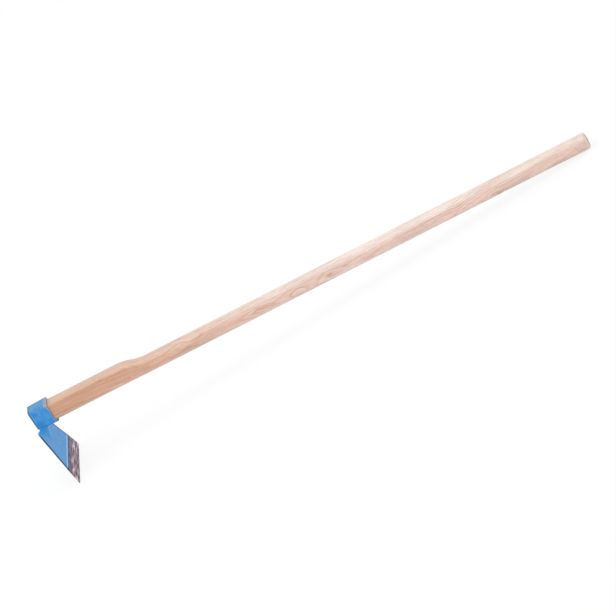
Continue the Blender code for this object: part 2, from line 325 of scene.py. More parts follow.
ashLook = {
    "warm": (0.620, 0.340, 0.220),         # the block beside the head
    "pale": (0.800, 0.592, 0.512),         # the grip
    "paling": (0.04, 0.74),                # along the handle, from the one to the other
    "paintedTopLight": (1.04, 1.19, 1.26),         # painted light: how much paler the side away from the blade is
    "paintedTopLightLevel": (0.004, 0.0115),
    "paintedTopLightWander": (0.006, -0.003),
    "shaftShift": 0.011,                   # it reaches further down on the round shaft
    "blockTopSheen": (0.99, 1.11, 1.21),        # painted sheen: the far half of the block's flat top is paler still
    "topLevel": (0.0222, 0.0243),
    "topAcross": (-0.012, 0.004),
    "underside": (1.14, 1.28, 1.40),       # painted bounce light: the block's low side is pale too
    "undersideLevel": (-0.0005, -0.0065),
    "undersideShare": 0.9,                 # and none on the shaft
    "shaftLow": (0.93, 1.04, 1.14),        # painted shade: the shaft's low side is a little grayer
    "shaftLowLevel": (-0.005, -0.013),
    "mottle": {"Coarse": 70.0, "Fine": 900.0},
    "mottleStretch": (0.12, 1.0, 1.0),
    "lightness": (0.35, 0.65, 0.93, 1.05),
    "rings": {"Pith": (0.0, 0.047, -0.021), "Drift": (0.0, 0.026, 0.045), "Spacing": 0.0034},
    "ringWander": (0.016, 0.0070),         # added in a figure, and everywhere
    "ringContrast": (0.55, 0.38),
    "ringTint": (0.64, 0.40, 0.25),
    "figures": (                           # place along the handle, reach and strength
        (0.20, 0.06, 0.6), (0.346, 0.035, 0.8), (0.40, 0.03, 0.9), (0.527, 0.045, 1.0),
        (0.619, 0.035, 0.8), (0.70, 0.045, 0.65), (1.00, 0.035, 0.9), (1.087, 0.05, 1.0),
        (1.28, 0.025, 0.5)),
    "pore": (0.48, 0.29, 0.19),
    "poreShare": 0.45,
    "poreHeight": -0.6,
    "speckHeight": 0.3,
    "relief": 0.00012,
    "roughness": (0.0, 1.0, 0.46, 0.66),   # rougher in the pores
    "endGrain": (0.60, 0.40, 0.28),        # darker, on both sawn ends
    "tenonEnd": (0.0060, 0.0052, 0.0, 0.35),
    "gripEnd": (0.0006, 0.0002, 0.0, 0.12),
    "gripEndShade": (0.26, 0.17, 0.19),            # painted shade on the grip end's far, low side
    "gripEndShadeSide": (0.0, 0.89, -0.45),
    "gripEndShadeAcross": (0.001, 0.010, 0.0, 0.65),
    "gripEndShadeDepth": (0.0024, 0.0004),
}


def makeAsh():
    look = ashLook
    material, tree, shader, place = newMaterial("ashWood", {})
    x, y, z = split(tree, place)
    fromGrip = calc(tree, "SUBTRACT", handle["reach"], x)
    shaft = ramp(tree, x, handle["blockEnd"], handle["shoulderEnd"])
    block = calc(tree, "SUBTRACT", 1.0, shaft)
    alongGrain = stretched(tree, place, look["mottleStretch"])
    mottle = useGroup(tree, mottleGroup, Vector=alongGrain, **look["mottle"])
    figure = 0.0
    for middle, reach, strength in look["figures"]:
        away = calc(tree, "ABSOLUTE", calc(tree, "SUBTRACT", x, middle))
        figure = calc(tree, "MAXIMUM", figure, ramp(tree, away, 0.0, reach, strength, 0.0))
    wander = calc(tree, "MULTIPLY_ADD", figure, *look["ringWander"])
    rings = useGroup(tree, grainGroup, Vector=place, Wander=wander, **look["rings"])
    ring = times(tree, rings["Ring"], calc(tree, "MULTIPLY_ADD", figure, *look["ringContrast"]))
    # the wood's tone, tint upon tint, with painted light on its upper side and the block's top, painted
    # bounce light under the block and painted shade under the shaft
    level = calc(tree, "SUBTRACT", z, calc(tree, "ABSOLUTE", y))
    level = calc(tree, "MULTIPLY_ADD", shaft, look["shaftShift"], level)
    border = calc(tree, "MULTIPLY_ADD", mottle["Patches"], *look["paintedTopLightWander"])
    # painted light on the side away from the blade
    upper = ramp(tree, calc(tree, "ADD", level, border), *look["paintedTopLightLevel"])
    # painted sheen on the far half of the block's top
    topSheen = times(tree, ramp(tree, z, *look["topLevel"]), block, ramp(tree, y, *look["topAcross"]))
    # painted bounce light on the block's low side
    under = calc(tree, "MULTIPLY", ramp(tree, z, *look["undersideLevel"]),
                 calc(tree, "SUBTRACT", look["undersideShare"], shaft), clamp=True)
    # painted shade on the shaft's low side
    low = times(tree, ramp(tree, z, *look["shaftLowLevel"]), shaft)
    lightness = ramp(tree, mottle["Patches"], *look["lightness"])
    gray = addNode(tree, "ShaderNodeCombineColor", {0: lightness, 1: lightness, 2: lightness}).outputs[0]
    wood = blendColor(tree, ramp(tree, x, *look["paling"]), look["warm"], look["pale"])
    tints = ((upper, look["paintedTopLight"]), (topSheen, look["blockTopSheen"]), (under, look["underside"]),
             (low, look["shaftLow"]), (1.0, gray), (ring, look["ringTint"]))
    for mask, tint in tints:
        wood = blendColor(tree, mask, wood, tint, "MULTIPLY")
    # pores, end grain and painted shade on the grip end cover it
    ends = calc(tree, "MAXIMUM", ramp(tree, x, *look["tenonEnd"]), ramp(tree, fromGrip, *look["gripEnd"]))
    farLow = vectorCalc(tree, "DOT_PRODUCT", place, look["gripEndShadeSide"])
    gripShaded = times(tree, ramp(tree, farLow, *look["gripEndShadeAcross"]), ramp(tree, fromGrip, *look["gripEndShadeDepth"]))
    covers = ((times(tree, rings["Pores"], look["poreShare"]), "pore"), (ends, "endGrain"), (gripShaded, "gripEndShade"))
    for mask, color in covers:
        wood = blendColor(tree, mask, wood, look[color])
    specks = times(tree, mottle["Specks"], look["speckHeight"])
    height = calc(tree, "MULTIPLY_ADD", rings["Pores"], look["poreHeight"], specks)
    setInputs(tree, shader, {
        "Base Color": wood,
        "Roughness": ramp(tree, rings["Pores"], *look["roughness"]),
        "Normal": bump(tree, height, look["relief"])})
    return material


blade = {
    "edgeWidth": 0.163,
    "earWidth": 0.0925,
    "length": 0.1276,
    "lean": math.radians(11.5),
    "earLevel": 0.0092,        # below the handle's axis
    "earSetback": 0.0035,
    "earRounding": 0.0055,
    "dip": 0.0050,
    "thickness": 0.0038,
    "stripThickness": 0.0030,
    "edgeThickness": 0.0008,
    "stripLength": 0.035,
    "stripRounding": 0.0004,
    "stripGrid": (120, 24),
    "plateGrid": (90, 80),
    "plateOverlap": 0.004,     # the plate runs on below the paint's edge until it is trimmed
    "paintShort": 0.0025,      # the paint stops a little short of the ground strip
    "paintSkew": -0.0177,      # and not quite square to the blade
    "skewSpread": 1.5,         # for a blade that is so much wider there than at its ears
}
blade["stripStart"] = blade["length"] - blade["stripLength"]
blade["paintEnd"] = blade["stripStart"] - blade["paintShort"]
acrossAxis = Vector((0.0, -1.0, 0.0))
downAxis = Vector((math.sin(blade["lean"]), 0.0, -math.cos(blade["lean"])))
offAxis = Vector((math.cos(blade["lean"]), 0.0, math.sin(blade["lean"])))
bladeAxes = Matrix((acrossAxis, downAxis, offAxis)).transposed().to_4x4()
bladeAxes.translation = Vector((blade["earSetback"], 0.0, -blade["earLevel"]))


def bladeDown(tree, place):    # how far down the blade a point lies, for the shaders
    start = -bladeAxes.translation.dot(downAxis)
    return calc(tree, "ADD", vectorCalc(tree, "DOT_PRODUCT", place, downAxis), start)


def pastPaint(tree, place, down):    # and how far below the paint's lower edge
    y = split(tree, place)[1]
    return calc(tree, "MULTIPLY_ADD", y, blade["paintSkew"], calc(tree, "SUBTRACT", down, blade["paintEnd"]))


eye = {
    "depth": 0.0425,
    "rake": math.radians(1.0),
    "wall": 0.0042,            # at the sides
    "topWall": 0.0052,
    "soleWall": 0.0045,
    "topTaper": 0.0003,
    "sideTaper": 0.0034,
    "soleTaper": 0.0010,
    "corner": 0.0065,
    "cornerSteps": 8,
    "rings": (0.25, 0.5, 0.75, 0.9),
    "lipReach": 0.0036,
    "lipRise": 0.0148,
    "topReach": 0.0013,        # the rim reaches a little further on top as well
    "topFrom": 0.020,          # from this far below the top
    "topRise": 0.016,
    "clearance": 0.0003,
}

# heights are levels above the handle's axis, and reaches are measured from the edge they name
paintLook = {
    "plain": {"Specular IOR Level": 0.15},
    "blue": (0.022, 0.235, 0.580),
    "thin": (0.080, 0.325, 0.690),         # where the coat is thinner and lighter
    "mottle": {"Coarse": 85.0, "Fine": 700.0},
    "patches": (0.32, 0.68),
    "ears": (-0.004, 0.012),               # down the blade, where its own finish takes over
    "uneven": (0.85, 0.40),                # how patchy the coat is on the eye and on the blade
    "bladeThin": 0.20,
    "dull": (0.092, 0.240, 0.390),         # grayer and duller on top of the eye
    "dullHeight": (0.0255, 0.0290),
    "dullPatches": (0.35, 0.60, 0.80, 0.35),
    "paintEdgeHighlight": (0.38, 0.58, 0.86),          # painted highlight: a thin light line along the paint's edge above the ground strip
    "paintEdgeHighlightReach": (-0.0044, -0.0030, 0.0, 0.80),
    "violet": (0.080, 0.080, 0.290),       # painted shade: the band inside the blade's far side
    "violetReach": (0.0068, 0.0044, 0.0, 0.85),
    "light": (0.130, 0.430, 0.720),        # and a painted highlight, the band inside its near side
    "nearHighlightReach": (0.0046, 0.0032, 0.0, 0.45),
    "innerFace": (-0.3, 0.3),
    # a dark navy, for painted shade on the eye and for the darker sheared sides
    "darkNavy": (0.015, 0.050, 0.100),
    "darkerSides": (0.0019, 0.0012, 0.0, 0.85),         # darker on the blade's sheared sides
    "rimShade": (0.0036, 0.0014, 0.0, 0.75),          # painted shade inside the eye's outer rim
    "rimShadeFacing": (-0.95, -0.75),
    "lipShade": (-0.0005, 0.0015, 0.0, 0.75),         # painted shadow under its lip
    "lipShadeHeight": (-0.010, -0.016),
    "cornerShade": (0.0120, 0.0150, 0.0, 0.65),       # and painted shade on its far upper corner
    "cornerShadeHeight": (0.0200, 0.0265),
    "worn": (0.27, 0.32, 0.41),            # metal on the eye's inner rim, widest on its top
    "wornEdge": (-0.0008, 0.0008),
    "wornFray": (0.006, -0.0042),
    "wornTop": -0.0055,
    "wornTopHeight": (0.0215, 0.0285),
    "wornHeight": (-0.020, -0.012),
    "wornShare": (0.0, 1.0, 0.60, 0.85),
    "wornMetal": 0.5,
    "chips": (0.0448, 0.0462, 0.0, 0.55),  # and small chips along its upper corners
    "chipSize": 210.0,
    "chipDetail": 3.0,
    "chipRange": (0.55, 0.66),
    "ribFootHighlight": (0.050, 0.400, 0.780),      # painted highlight beside the rib's foot
    "ribFootHighlightPlace": (0.0095, -0.0140, -0.0300),
    "ribFootHighlightReach": (0.013, 0.002, 0.0, 0.5),
    "bare": (0.33, 0.37, 0.45),            # polished steel at the eye's very rim
    "bareReach": (-0.0016, -0.0004),
    "bareHeight": (0.004, 0.022, 0.0, 0.85),
    "roughness": (0.3, 0.7, 0.32, 0.44),
    "relief": 0.00006,
}


def makePaint():
    look = paintLook
    material, tree, shader, place = newMaterial("bluePaint", look["plain"])
    x, y, z = split(tree, place)
    pastEye = calc(tree, "SUBTRACT", x, eye["depth"])
    down = bladeDown(tree, place)
    onBlade = ramp(tree, down, *look["ears"])
    mottle = useGroup(tree, mottleGroup, Vector=place, **look["mottle"])
    patches = calc(tree, "SUBTRACT", ramp(tree, mottle["Patches"], *look["patches"]), 0.5)
    patches = calc(tree, "MULTIPLY_ADD", patches, ramp(tree, down, *look["ears"], *look["uneven"]), 0.5)
    patches = calc(tree, "MULTIPLY_ADD", onBlade, look["bladeThin"], patches)
    coat = blendColor(tree, patches, look["blue"], look["thin"])
    grayerTop = times(tree, ramp(tree, z, *look["dullHeight"]),
                   ramp(tree, mottle["Patches"], *look["dullPatches"]))
    # painted highlight along the paint's lower edge
    paintEdgeGlint = ramp(tree, pastPaint(tree, place, down), *look["paintEdgeHighlightReach"])
    # along the blade's sides, by how far inside them a point lies: painted shade inside the far side, a
    # painted highlight inside the near side, and darker sheared sides
    normal = addNode(tree, "ShaderNodeNewGeometry").outputs["Normal"]
    facing = vectorCalc(tree, "DOT_PRODUCT", normal, alongHandle)
    innerFace = ramp(tree, facing, *look["innerFace"])
    slope = (blade["edgeWidth"] - blade["earWidth"]) / (2.0 * blade["length"])
    halfHere = calc(tree, "MULTIPLY_ADD", down, slope, 0.5 * blade["earWidth"])
    acrossHere = calc(tree, "ABSOLUTE", y)
    inward = calc(tree, "SUBTRACT", halfHere, acrossHere)
    farSide = calc(tree, "GREATER_THAN", y, 0.0)
    nearSide = calc(tree, "SUBTRACT", 1.0, farSide)
    farEdgeShade = times(tree, ramp(tree, inward, *look["violetReach"]), farSide, onBlade, innerFace)
    nearEdgeHighlight = times(tree, ramp(tree, inward, *look["nearHighlightReach"]), nearSide, onBlade)
    side = times(tree, ramp(tree, inward, *look["darkerSides"]), onBlade)
    # round the eye's two rims: painted shade inside the outer rim and under the lip, worn and bare metal at
    # the inner rim
    outerRim = times(tree, ramp(tree, x, *look["rimShade"]), ramp(tree, facing, *look["rimShadeFacing"]))
    underLip = times(tree, ramp(tree, pastEye, *look["lipShade"]), ramp(tree, z, *look["lipShadeHeight"]))
    onTop = ramp(tree, z, *look["wornTopHeight"])
    fray = calc(tree, "MULTIPLY_ADD", mottle["Patches"], *look["wornFray"])
    fray = calc(tree, "MULTIPLY_ADD", onTop, look["wornTop"], fray)
    rim = ramp(tree, calc(tree, "SUBTRACT", pastEye, fray), *look["wornEdge"])
    wear = times(tree, rim, ramp(tree, z, *look["wornHeight"]), ramp(tree, onTop, *look["wornShare"]))
    polished = times(tree, ramp(tree, pastEye, *look["bareReach"]), ramp(tree, z, *look["bareHeight"]))
    # along its upper corners, which draw in toward its outer end: chips, and painted shade on the far one
    narrowing = calc(tree, "MULTIPLY_ADD", x, -eye["sideTaper"] / eye["depth"], eye["sideTaper"])
    cornerReach = calc(tree, "ADD", calc(tree, "ADD", acrossHere, z), narrowing)
    chipped = ramp(tree, noise(tree, place, look["chipSize"], look["chipDetail"]), *look["chipRange"])
    chips = times(tree, ramp(tree, cornerReach, *look["chips"]), chipped)
    farCorner = times(tree, ramp(tree, calc(tree, "ADD", y, narrowing), *look["cornerShade"]),
                      ramp(tree, z, *look["cornerShadeHeight"]))
    # and a painted highlight beside the rib's foot
    beside = vectorCalc(tree, "DISTANCE", place, look["ribFootHighlightPlace"])
    ribFootGlint = times(tree, ramp(tree, beside, *look["ribFootHighlightReach"]), innerFace)
    layers = (
        (grayerTop, "dull"), (paintEdgeGlint, "paintEdgeHighlight"), (farEdgeShade, "violet"), (nearEdgeHighlight, "light"), (side, "darkNavy"),
        (calc(tree, "MAXIMUM", outerRim, underLip), "darkNavy"), (wear, "worn"), (chips, "worn"),
        (farCorner, "darkNavy"), (ribFootGlint, "ribFootHighlight"), (polished, "bare"))
    for mask, color in layers:
        coat = blendColor(tree, mask, coat, look[color])
    setInputs(tree, shader, {
        "Base Color": coat,
        "Roughness": ramp(tree, mottle["Specks"], *look["roughness"]),
        "Metallic": times(tree, wear, look["wornMetal"]),
        "Normal": bump(tree, mottle["Specks"], look["relief"])})
    return material


steelLook = {
    "plain": {"Specular IOR Level": 0.2},
    "dark": (0.070, 0.034, 0.046),
    "middle": (0.21, 0.125, 0.160),
    "middleRange": (0.35, 0.51),
    "bright": (0.70, 0.53, 0.60),
    "brightRange": (0.49, 0.66),
    "wave": (50.0, 30.0, 50.0),
    "waveReach": 3.2,
    "streaksPerMetre": 390.0,
    "streaks": (1.0, 30.0, 1.0),
    "streakNoise": {"detail": 1.0, "roughness": 0.4},
    "scratches": (7.0, 30.0, 1.0),
    "scratchNoise": {"detail": 3.0, "roughness": 0.75},
    "scratchShare": 0.55,
    "scale": (0.080, 0.100, 0.140),        # dark band left along the paint's edge
    "scaleReach": (0.0150, 0.0080, 0.0, 0.85),
    "seam": (0.018, 0.050, 0.140),         # and where the paint stops
    "seamReach": (0.0050, 0.0034, 0.0, 0.85),
    "metal": (0.0, 1.0, 0.25, 0.70),
    "roughness": (0.3, 0.7, 0.52, 0.30),
    "relief": 0.00025,
}


def makeGroundSteel():
    look = steelLook
    material, tree, shader, place = newMaterial("groundSteel", look["plain"])
    down = bladeDown(tree, place)
    # grinding streaks run along the cutting edge and wander across it
    wave = noise(tree, stretched(tree, place, look["wave"]))
    bent = addNode(tree, "ShaderNodeCombineXYZ", {
        0: calc(tree, "MULTIPLY_ADD", wave, look["waveReach"], times(tree, down, look["streaksPerMetre"])),
        1: split(tree, place)[1]}).outputs[0]
    streak = noise(tree, stretched(tree, bent, look["streaks"]), **look["streakNoise"])
    scratches = noise(tree, stretched(tree, bent, look["scratches"]), **look["scratchNoise"])
    scratches = calc(tree, "SUBTRACT", scratches, 0.5)
    streak = calc(tree, "MULTIPLY_ADD", scratches, look["scratchShare"], streak)
    light = ramp(tree, streak, *look["brightRange"])
    below = pastPaint(tree, place, down)
    color = look["dark"]
    layers = (
        (ramp(tree, streak, *look["middleRange"]), "middle"), (light, "bright"),
        (ramp(tree, below, *look["scaleReach"]), "scale"), (ramp(tree, below, *look["seamReach"]), "seam"))
    for mask, layer in layers:
        color = blendColor(tree, mask, color, look[layer])
    setInputs(tree, shader, {
        "Base Color": color,
        "Metallic": ramp(tree, light, *look["metal"]),
        "Roughness": ramp(tree, streak, *look["roughness"]),
        "Normal": bump(tree, streak, look["relief"])})
    return material


beechLook = {
    "plain": {"Roughness": 0.65, "Specular IOR Level": 0.3},
    "rings": {"Pith": (0.0, 0.03, 0.05), "Drift": (0.0, 0.0, 0.0), "Spacing": 0.0016, "Wander": 0.001},
    "pale": (0.50, 0.30, 0.16),
    "dark": (0.34, 0.18, 0.09),
    "darkShare": 0.6,
    "relief": 0.0001,
}


def makeBeech():
    look = beechLook
    material, tree, shader, place = newMaterial("beechWedge", look["plain"])
    rings = useGroup(tree, grainGroup, Vector=place, **look["rings"])
    ring = times(tree, rings["Ring"], look["darkShare"])
    setInputs(tree, shader, {
        "Base Color": blendColor(tree, ring, look["pale"], look["dark"]),
        "Normal": bump(tree, rings["Pores"], look["relief"])})
    return material


wedgeSteelLook = {
    "plain": {"Metallic": 0.9},
    "mottle": {"Coarse": 220.0, "Fine": 1500.0},
    "dark": (0.30, 0.29, 0.28),
    "light": (0.46, 0.44, 0.42),
    "lightRange": (0.4, 0.7),
    "roughness": (0.3, 0.7, 0.38, 0.6),
    "relief": 0.0001,
}


def makeWedgeSteel():
    look = wedgeSteelLook
    material, tree, shader, place = newMaterial("wedgeSteel", look["plain"])
    mottle = useGroup(tree, mottleGroup, Vector=place, **look["mottle"])
    light = ramp(tree, mottle["Patches"], *look["lightRange"])
    setInputs(tree, shader, {
        "Base Color": blendColor(tree, light, look["dark"], look["light"]),
        "Roughness": ramp(tree, mottle["Specks"], *look["roughness"]),
        "Normal": bump(tree, mottle["Specks"], look["relief"])})
    return material


ash = makeAsh()
bluePaint = makePaint()
groundSteel = makeGroundSteel()
beech = makeBeech()
wedgeSteel = makeWedgeSteel()
print("materials ready")


# bars with upright sides, a flat top and a round underside, as the block, the eye and its bore are

def stoneShape(sideWall, topWall, soleWall, corner, cornerSteps):
    return {
        "half": handle["halfWidth"] + sideWall,
        "top": handle["top"] + topWall,
        "radius": handle["underside"] + sideWall,
        "sole": -handle["underside"] - soleWall,
        "corner": corner,
        "cornerSteps": cornerSteps,
    }


def makeStoneBar(name, start, end, shape):
    half, top, radius, sole = (shape[key] for key in ("half", "top", "radius", "sole"))
    bar = addBox(name, (0.5 * (start + end), 0.0, 0.5 * (top + sole)), (end - start, 2.0 * half, top - sole))

    def longEdge(level):
        return lambda edge: span(edge, 0) > tiny and abs(edge.verts[0].co.z - level) < tiny

    pick(bar, "EDGE", longEdge(sole))
    almostHalf = half * (1.0 - tiny)    # two bevels that nearly meet, and are merged below
    bpy.ops.mesh.bevel(offset=almostHalf, segments=handle["undersideSteps"], profile=0.5, affect="EDGES")
    pick(bar, "EDGE", longEdge(top))
    bpy.ops.mesh.bevel(offset=shape["corner"], segments=shape["cornerSteps"], profile=0.5, affect="EDGES")
    bpy.ops.mesh.select_all(action="SELECT")
    bpy.ops.mesh.remove_doubles(threshold=mergeReach)
    bpy.ops.object.mode_set(mode="OBJECT")
    foot = math.acos(half / radius)

    def ontoArc(point):    # the bevels made a half circle; the real underside is a flatter arc
        if point.z > sole + half:
            return point
        angle = math.atan2(point.y, sole + half - point.z) * (1.0 - foot / quarterTurn)
        return Vector((point.x, radius * math.sin(angle), sole + radius * (1.0 - math.cos(angle))))

    moveVerts(bar, ontoArc)
    return bar


def ringCutAt(piece, x):
    pick(piece, "FACE", lambda face: True)
    bpy.ops.mesh.bisect(plane_co=(x, 0.0, 0.0), plane_no=(1.0, 0.0, 0.0))
    bpy.ops.object.mode_set(mode="OBJECT")


def drawnIn(shape, raked=True):    # the eye narrows toward its outer end, which leans out at its top
    half, top, radius, sole, corner = (shape[key] for key in ("half", "top", "radius", "sole", "corner"))
    foot = math.acos(half / radius)
    sideFoot = sole + radius * (1.0 - math.sin(foot))
    flat = half - corner

    def where(point):
        taper = max(1.0 - point.x / eye["depth"], 0.0)
        newHalf = half - eye["sideTaper"] * taper
        newTop = top - eye["topTaper"] * taper
        newSole = sole + eye["soleTaper"] * taper
        newFoot = math.acos(newHalf / radius)
        newSideFoot = newSole + radius * (1.0 - math.sin(newFoot))
        y = abs(point.y)
        angle = math.atan2(y, sole + radius - point.z)
        if angle < quarterTurn - foot + tiny:
            angle *= (quarterTurn - newFoot) / (quarterTurn - foot)
            y, z = radius * math.sin(angle), newSole + radius * (1.0 - math.cos(angle))
        else:
            y = y * (newHalf - corner) / flat if y < flat else y - half + newHalf
            share = (point.z - sideFoot) / (top - corner - sideFoot)
            z = mix(newSideFoot, newTop - corner, share) if share < 1.0 else point.z - top + newTop
        x = point.x - (z * math.tan(eye["rake"]) * min(taper, 1.0) if raked else 0.0)
        return Vector((x, math.copysign(y, point.y), z))

    return where


# handle

def makeHandle():
    shape = stoneShape(0.0, 0.0, 0.0, handle["corner"], handle["cornerSteps"])
    block = makeStoneBar("handle_wood", handle["recess"], handle["blockEnd"], shape)
    # points along the sides and the top, so that the shoulder can flow into the round
    for axis in (2, 1):
        pick(block, "EDGE", lambda edge: span(edge, 0) < tiny and span(edge, axis) > handle["corner"])
        bpy.ops.mesh.subdivide(number_cuts=handle["flatCuts"])
    for end in (handle["recess"], handle["blockEnd"]):    # each end becomes one face again
        pick(block, "FACE", lambda face: abs(face.calc_center_median().x - end) < tiny)
        bpy.ops.mesh.dissolve_faces()
    bpy.ops.object.mode_set(mode="OBJECT")
    bpy.ops.object.select_all(action="DESELECT")
    length = handle["reach"] - handle["shoulderEnd"]
    bpy.ops.mesh.primitive_cylinder_add(vertices=handle["sides"], radius=handle["roundRadius"], depth=length,
                                        location=(handle["shoulderEnd"] + 0.5 * length, 0.0, 0.0),
                                        rotation=(0.0, quarterTurn, 0.0))
    shaft = newest("round_shaft")
    pick(shaft, "EDGE", lambda edge: min(v.co.x for v in edge.verts) > handle["reach"] - tiny)
    bpy.ops.mesh.bevel(offset=handle["gripRounding"], segments=handle["gripSteps"], profile=0.5,
                       affect="EDGES")
    bpy.ops.object.mode_set(mode="OBJECT")
    alone(block)
    shaft.select_set(True)
    bpy.ops.object.join()
    # the shoulder bridges the gap between the block and the shaft
    gapStart, gapEnd = handle["blockEnd"] - tiny, handle["shoulderEnd"] + tiny
    pick(block, "FACE", lambda face: abs(face.normal.x) > 0.99
         and gapStart < face.calc_center_median().x < gapEnd)
    bpy.ops.mesh.delete(type="FACE")
    pick(block, "EDGE", lambda edge: edge.is_boundary)
    bpy.ops.mesh.bridge_edge_loops(number_cuts=handle["shoulderRings"], interpolation="SURFACE",
                                   smoothness=1.0)
    bpy.ops.object.mode_set(mode="OBJECT")
    ringCutAt(block, eye["depth"] + eye["clearance"])
    tapered = drawnIn(shape)
    moveVerts(block, lambda point: tapered(point) if point.x < eye["depth"] else point)
    return block


wedges = {
    "kerfWidth": 0.0014,
    "kerfDepth": 0.036,
    "kerfHeight": 0.1,
    "overshoot": 0.010,        # what cuts the wood starts this far outside it
    "woodLength": 0.029,
    "woodHead": 0.0050,
    "woodTip": 0.0012,
    "woodMargin": 0.0035,
    "steelLength": 0.019,
    "steelWidth": 0.019,
    "steelHead": 0.0034,
    "steelTip": 0.0006,
    "steelLevel": 0.0030,
    "rounding": 0.0003,
}


def makeWedge(name, length, width, head, tip, upright, level, grow=0.0):    # grown, it cuts its own pocket
    start = -wedges["overshoot"] if grow else 0.0
    end = length + grow
    piece = addBox(name)

    def where(point):
        wide = math.copysign(0.5 * width + grow, point.z)
        lean = -(level + wide if upright else level) * math.tan(eye["rake"])
        x = end if point.x > 0.0 else start + lean
        thick = math.copysign(0.5 * mix(head, tip, x / length) + grow, point.y)
        y, z = (thick, level + wide) if upright else (wide, level + thick)
        return Vector((handle["recess"] + x, y, z))

    moveVerts(piece, where)
    editAll(piece)
    bpy.ops.mesh.normals_make_consistent(inside=False)
    if not grow:
        bpy.ops.mesh.bevel(offset=wedges["rounding"], segments=2, affect="EDGES")
    bpy.ops.object.mode_set(mode="OBJECT")
    return piece


def dressHandle():
    wood = makeHandle()
    tenonTop = handle["top"] - eye["topTaper"]
    tenonSole = -handle["underside"] + eye["soleTaper"]
    woodWidth = tenonTop - tenonSole - 2.0 * wedges["woodMargin"]
    woodSizes = (wedges["woodLength"], woodWidth, wedges["woodHead"], wedges["woodTip"],
                 True, 0.5 * (tenonTop + tenonSole))
    steelSizes = (wedges["steelLength"], wedges["steelWidth"], wedges["steelHead"], wedges["steelTip"],
                  False, wedges["steelLevel"])
    kerfLength = wedges["kerfDepth"] + wedges["overshoot"]
    kerfMiddle = (handle["recess"] + wedges["kerfDepth"] - 0.5 * kerfLength, 0.0, 0.0)
    cut(wood, addBox("kerf", kerfMiddle, (kerfLength, wedges["kerfWidth"], wedges["kerfHeight"])))
    cut(wood, makeWedge("pocketOne", *woodSizes, grow=eye["clearance"]))
    cut(wood, makeWedge("pocketTwo", *steelSizes, grow=eye["clearance"]))
    woodWedge = makeWedge("wedge_wood", *woodSizes)
    cut(woodWedge, makeWedge("pocketThree", *steelSizes, grow=eye["clearance"]))
    steelWedge = makeWedge("wedge_steel", *steelSizes)
    finishPiece(wood, ash, "handle", 35.0)
    finishPiece(woodWedge, beech, "wood_wedge")
    finishPiece(steelWedge, wedgeSteel, "steel_wedge")


dressHandle()


# head

rib = {
    "reach": 0.0205,
    "halfWidth": 0.0070,
    "footHalfWidth": 0.0042,
    "flank": 0.0110,
    "footFlank": 0.0210,
    "length": 0.032,
    "hollow": 1.5,
}
forging = {
    "voxel": 0.0006,
    "filleting": 22,           # rounds of smoothing where the eye and the blade meet
    "filletMiddle": (0.010, 0.0, -0.028),
    "filletReach": 0.012,
    "filletFade": 0.012,
    "filletStretch": 0.7,      # it reaches further across the blade
    "softening": 5,            # rounds of smoothing all over
    "allowance": 0.0001,       # what the smoothing takes off the plate
    "rounding": 0.0005,        # of the blade's edges
    "planing": 0.0003,         # points that stray less than this from the blade go back onto it
    "planingFade": 0.0006,     # and those that stray this much more stay where they are
    "planingFrom": 0.008,      # down the blade
    "planingRise": 0.006,
    "dents": 0.00022,
    "dentSize": 0.014,
    "boreGap": 0.0001,
    "boreStart": -0.010,
    "borePast": 0.014,
    "boreCornerSteps": 6,
}
earsToSole = handle["underside"] + eye["clearance"] + eye["soleWall"] - blade["earLevel"]
soleLevel = earsToSole / math.cos(blade["lean"])


def bladeThickness(down):
    past = down - blade["stripStart"]
    if past < 0.0:
        return mix(blade["thickness"], blade["stripThickness"], down / blade["stripStart"])
    return mix(blade["stripThickness"], blade["edgeThickness"], past / blade["stripLength"])


def shoulderLine(across):
    half = 0.5 * blade["earWidth"]
    fromEar = half - abs(across)
    rounding = blade["earRounding"]
    if fromEar < rounding:
        return rounding - math.sqrt(max(rounding ** 2 - (rounding - max(fromEar, 0.0)) ** 2, 0.0))
    return blade["dip"] * ease((fromEar - rounding) / (half - rounding - handle["halfWidth"] - eye["wall"]))


def ribHeight(down, across):
    faceAtSole = blade["earSetback"] + soleLevel * math.sin(blade["lean"]) + 0.5 * blade["thickness"]
    fall = min(max((down - soleLevel) / rib["length"], 0.0), 1.0)
    crest = (rib["reach"] - faceAtSole) / math.cos(blade["lean"]) * (1.0 - fall) ** rib["hollow"]
    halfWidth = mix(rib["halfWidth"], rib["footHalfWidth"], fall)
    return crest * (1.0 - ease((abs(across) - halfWidth) / mix(rib["flank"], rib["footFlank"], fall)))


